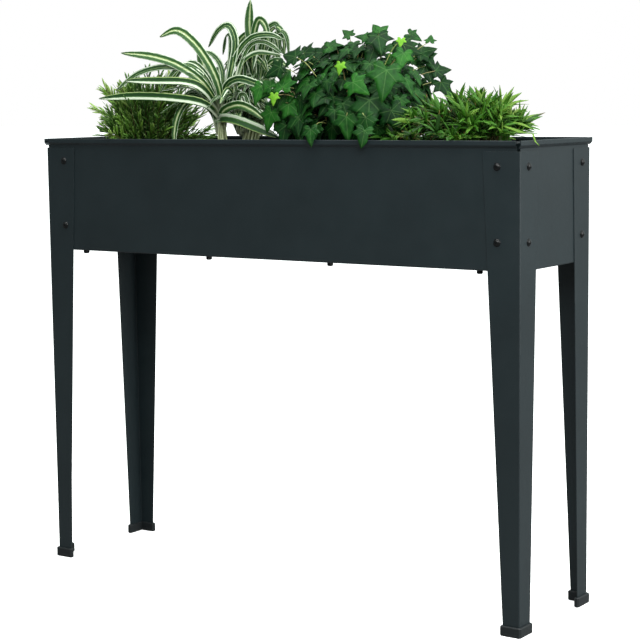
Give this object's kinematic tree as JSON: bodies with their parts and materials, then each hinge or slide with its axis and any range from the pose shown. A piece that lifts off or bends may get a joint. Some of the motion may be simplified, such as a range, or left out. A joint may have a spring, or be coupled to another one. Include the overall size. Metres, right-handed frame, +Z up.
{
  "type": "raised planter on legs",
  "caption": "Long raised trough of folded, powder-coated sheet steel on tapered angle legs with foot caps, holding potted plants that lift out.",
  "frame": {"origin": "on the floor, midway between the four feet", "axes": "+X along the trough to the right seen from the front, -Y out of the long front, +Z up"},
  "size_m": [1.008, 0.254, 1.044],
  "materials": {
    "powder_coat": "satin",
    "foot_plastic": "matte",
    "black_bolt": "gloss",
    "pot_plastic": "matte",
    "compost": "matte",
    "needle_leaf": "satin",
    "striped_leaf": "satin",
    "ivy_leaf": "satin",
    "bamboo_leaf": "satin"
  },
  "bodies": {
    "planter": {"panel_front": "powder_coat", "panel_back": "powder_coat", "panel_left": "powder_coat", "panel_right": "powder_coat", "base_plate": "powder_coat", "leg_front_left": "powder_coat", "leg_front_right": "powder_coat", "leg_back_left": "powder_coat", "leg_back_right": "powder_coat", "foot_cap_front_left": "foot_plastic", "foot_cap_front_right": "foot_plastic", "foot_cap_back_left": "foot_plastic", "foot_cap_back_right": "foot_plastic", "leg_bolts": "black_bolt", "base_bolts": "black_bolt"},
    "needle_bush": {"needle_bush_pot": "pot_plastic", "needle_bush_compost": "compost", "needle_bush_foliage": "needle_leaf"},
    "spider_plant": {"spider_plant_pot": "pot_plastic", "spider_plant_compost": "compost", "spider_plant_foliage": "striped_leaf"},
    "ivy": {"ivy_pot": "pot_plastic", "ivy_compost": "compost", "ivy_foliage": "ivy_leaf"},
    "bamboo_bush": {"bamboo_bush_pot": "pot_plastic", "bamboo_bush_compost": "compost", "bamboo_bush_foliage": "bamboo_leaf"}
  },
  "joints": [
    {"name": "needle_bush_lift", "type": "slide", "parent": "planter", "child": "needle_bush", "axis": [0, 0, 1], "range_m": [0, 0.24]},
    {"name": "spider_plant_lift", "type": "slide", "parent": "planter", "child": "spider_plant", "axis": [0, 0, 1], "range_m": [0, 0.24]},
    {"name": "ivy_lift", "type": "slide", "parent": "planter", "child": "ivy", "axis": [0, 0, 1], "range_m": [0, 0.24]},
    {"name": "bamboo_bush_lift", "type": "slide", "parent": "planter", "child": "bamboo_bush", "axis": [0, 0, 1], "range_m": [0, 0.24]}
  ]
}
